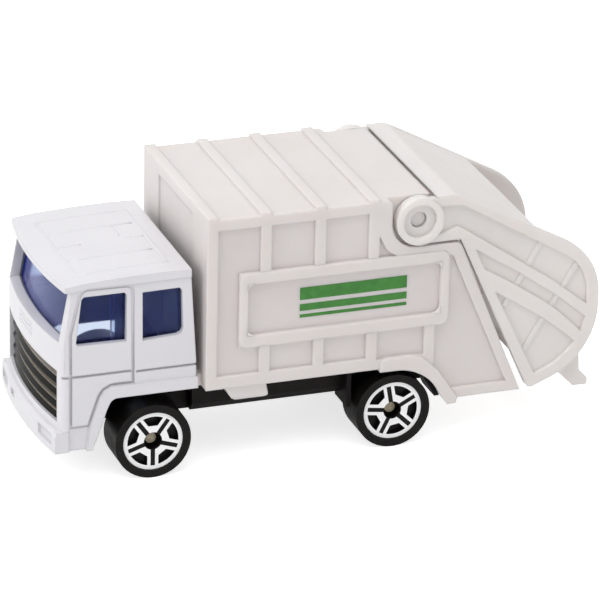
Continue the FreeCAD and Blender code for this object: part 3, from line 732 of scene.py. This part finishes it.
# Soft lamps: where each stands, what it points at, its width and height, and its power in W.
LAMPS = {
    "front": ((0.68, 0.1, 0.36), (0, 0, 0.02), (0.5, 0.5), 1.45),
    "top": ((0.14, 0.14, 0.68), (0, 0, 0.02), (0.6, 0.6), 2.25),
    "fill": ((-0.05, 0.72, 0.05), (0, 0, 0.01), (0.5, 0.3), 0.4),
}

AZIMUTH, ELEVATION, ROLL = math.radians(160.146), math.radians(23.402), math.radians(1.289)
CAMERA_DISTANCE = 0.7146
CAMERA_AIM = Vector((-0.00139, -0.00143, 0.01888))
LENS = 276.5              # focal length and width of the sensor, in mm
SENSOR_WIDTH = 36
CLIP = (0.01, 20)


def ray_kinds(tree):
    """Sockets that are 1 for the camera's own rays, and for those by way of metal or glass."""
    path = tree.nodes.new("ShaderNodeLightPath")
    mirrored = math_node(tree, "MAXIMUM", path.outputs["Is Glossy Ray"],
                         path.outputs["Is Transmission Ray"])
    return path.outputs["Is Camera Ray"], mirrored


def stage_floor():
    """Pale floor, white to the camera, that keeps the soft shadow and is clear from below."""
    corners = [(-1, -1), (1, -1), (1, 1), (-1, 1)]
    mesh = bpy.data.meshes.new("floor")
    mesh.from_pydata([(x * FLOOR_HALF, y * FLOOR_HALF, 0) for x, y in corners], [],
                     [(0, 1, 2, 3)])
    floor = bpy.data.objects.new("floor", mesh)
    bpy.context.scene.collection.objects.link(floor)
    mat, tree, bsdf = shader("floor_white")
    bsdf.inputs["Base Color"].default_value = (FLOOR_GREY, FLOOR_GREY, FLOOR_GREY, 1)
    bsdf.inputs["Roughness"].default_value = FLOOR_ROUGHNESS
    seen, mirrored = ray_kinds(tree)
    glow = math_node(tree, "ADD", math_node(tree, "MULTIPLY", seen, CAMERA_GLOW),
                     math_node(tree, "MULTIPLY", mirrored, REFLECTED_GLOW))
    bsdf.inputs["Emission Color"].default_value = (1, 1, 1, 1)
    tree.links.new(glow, bsdf.inputs["Emission Strength"])
    face = tree.nodes.new("ShaderNodeNewGeometry")
    clear = tree.nodes.new("ShaderNodeBsdfTransparent")
    side = tree.nodes.new("ShaderNodeMixShader")
    tree.links.new(face.outputs["Backfacing"], side.inputs[0])
    tree.links.new(bsdf.outputs["BSDF"], side.inputs[1])
    tree.links.new(clear.outputs[0], side.inputs[2])
    tree.links.new(side.outputs[0], output_node(tree).inputs["Surface"])
    mesh.materials.append(mat)


def world_light():
    """White surroundings, dimmer as light than as background."""
    world = bpy.data.worlds.new("studio")
    bpy.context.scene.world = world
    world.use_nodes = True
    tree = world.node_tree
    tree.nodes.clear()
    out = tree.nodes.new("ShaderNodeOutputWorld")
    back = tree.nodes.new("ShaderNodeBackground")
    shown = math_node(tree, "MAXIMUM", *ray_kinds(tree))
    level = ramp(tree, shown, WORLD_AS_LIGHT, WORLD_AS_BACKGROUND, 0.0, 1.0)
    tree.links.new(level, back.inputs["Strength"])
    back.inputs["Color"].default_value = (1, 1, 1, 1)
    tree.links.new(back.outputs[0], out.inputs["Surface"])


def soft_light(name, place, aim, size, power):
    """Rectangular area lamp that points at aim."""
    data = bpy.data.lights.new(name, "AREA")
    data.shape = "RECTANGLE"
    data.size, data.size_y = size
    data.energy = power
    lamp = bpy.data.objects.new(name, data)
    lamp.location = place
    lamp.rotation_mode = "QUATERNION"
    lamp.rotation_quaternion = (Vector(aim) - Vector(place)).to_track_quat("-Z", "Y")
    bpy.context.scene.collection.objects.link(lamp)


def add_camera():
    """The photograph's view."""
    data = bpy.data.cameras.new("camera")
    data.sensor_width = SENSOR_WIDTH
    data.lens = LENS
    data.clip_start, data.clip_end = CLIP
    cam = bpy.data.objects.new("camera", data)
    back = Vector((math.sin(AZIMUTH) * math.cos(ELEVATION),
                   -math.cos(AZIMUTH) * math.cos(ELEVATION), math.sin(ELEVATION)))
    cam.location = CAMERA_AIM + back * CAMERA_DISTANCE
    cam.rotation_mode = "QUATERNION"
    cam.rotation_quaternion = (-back).to_track_quat("-Z", "Y") @ Quaternion((0, 0, 1), ROLL)
    bpy.context.scene.collection.objects.link(cam)
    bpy.context.scene.camera = cam


# ---------------------------------------------------------------- the scene
finish_nodes()
wheel_prints()
sign_stripes()
sign_corners()
roof_ridges()
face_vents()
stage_floor()
world_light()
for lamp_name, lamp_values in LAMPS.items():
    soft_light(lamp_name, *lamp_values)
add_camera()
bpy.context.scene.view_settings.view_transform = "Standard"
